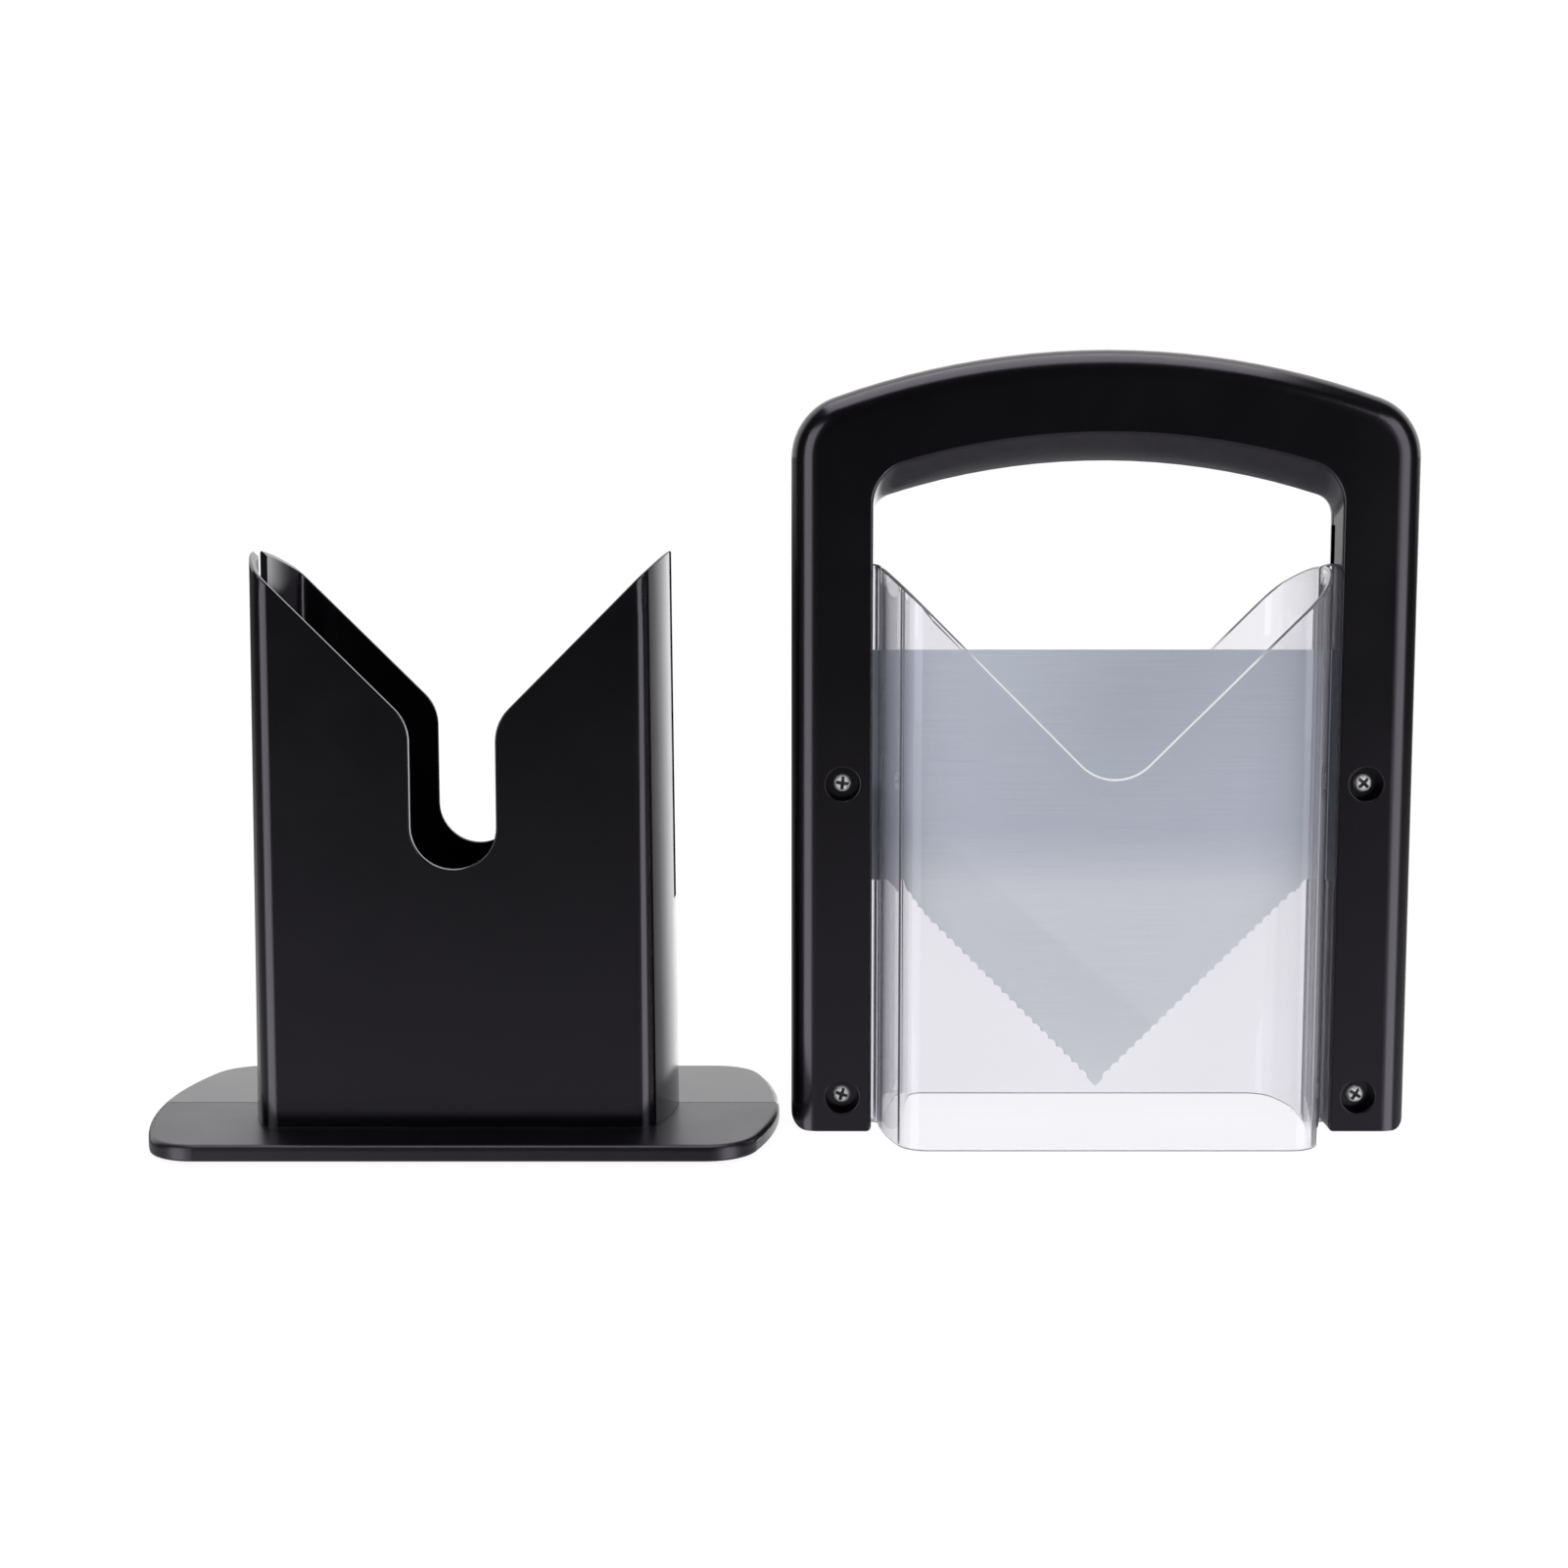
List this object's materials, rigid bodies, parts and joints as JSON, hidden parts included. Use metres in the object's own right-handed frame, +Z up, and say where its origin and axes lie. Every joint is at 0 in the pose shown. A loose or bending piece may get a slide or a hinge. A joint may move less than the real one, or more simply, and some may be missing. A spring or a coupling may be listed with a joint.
{
  "type": "bagel guillotine slicer",
  "caption": "Bagel slicer: upright holder with a V-shaped mouth on a base plate, and an arched handle frame with a serrated V blade between clear guards, standing beside it.",
  "frame": {"origin": "middle of the footprint of holder and carriage together, on the table that both stand on", "axes": "+X from the holder to the blade carriage beside it, +Y from the front to the back, +Z up"},
  "size_m": [0.3626, 0.097, 0.2231],
  "materials": {
    "cradle_plastic": "gloss",
    "handle_plastic": "satin gloss",
    "blade_steel": "fine ground",
    "guard_plastic": "clear",
    "screw_steel": "bright plated",
    "foot_rubber": "matt"
  },
  "bodies": {
    "holder": {"front_cradle_half": "cradle_plastic", "rear_cradle_half": "cradle_plastic", "bottom_tie_plate": "cradle_plastic", "tie_screw_front_left": "screw_steel", "tie_screw_front_right": "screw_steel", "tie_screw_rear_left": "screw_steel", "tie_screw_rear_right": "screw_steel", "rubber_foot_front_left": "foot_rubber", "rubber_foot_front_right": "foot_rubber", "rubber_foot_rear_left": "foot_rubber", "rubber_foot_rear_right": "foot_rubber"},
    "blade_carriage": {"handle_front_shell": "handle_plastic", "handle_rear_shell": "handle_plastic", "blade": "blade_steel", "front_guard": "guard_plastic", "rear_guard": "guard_plastic", "handle_screw_lower_left": "screw_steel", "handle_screw_lower_right": "screw_steel", "handle_screw_upper_left": "screw_steel", "handle_screw_upper_right": "screw_steel"}
  },
  "joints": [
    {"name": "carriage_stroke", "type": "slide", "parent": "holder", "child": "blade_carriage", "axis": [0, 0, 1], "range_m": [0, 0.17]}
  ]
}
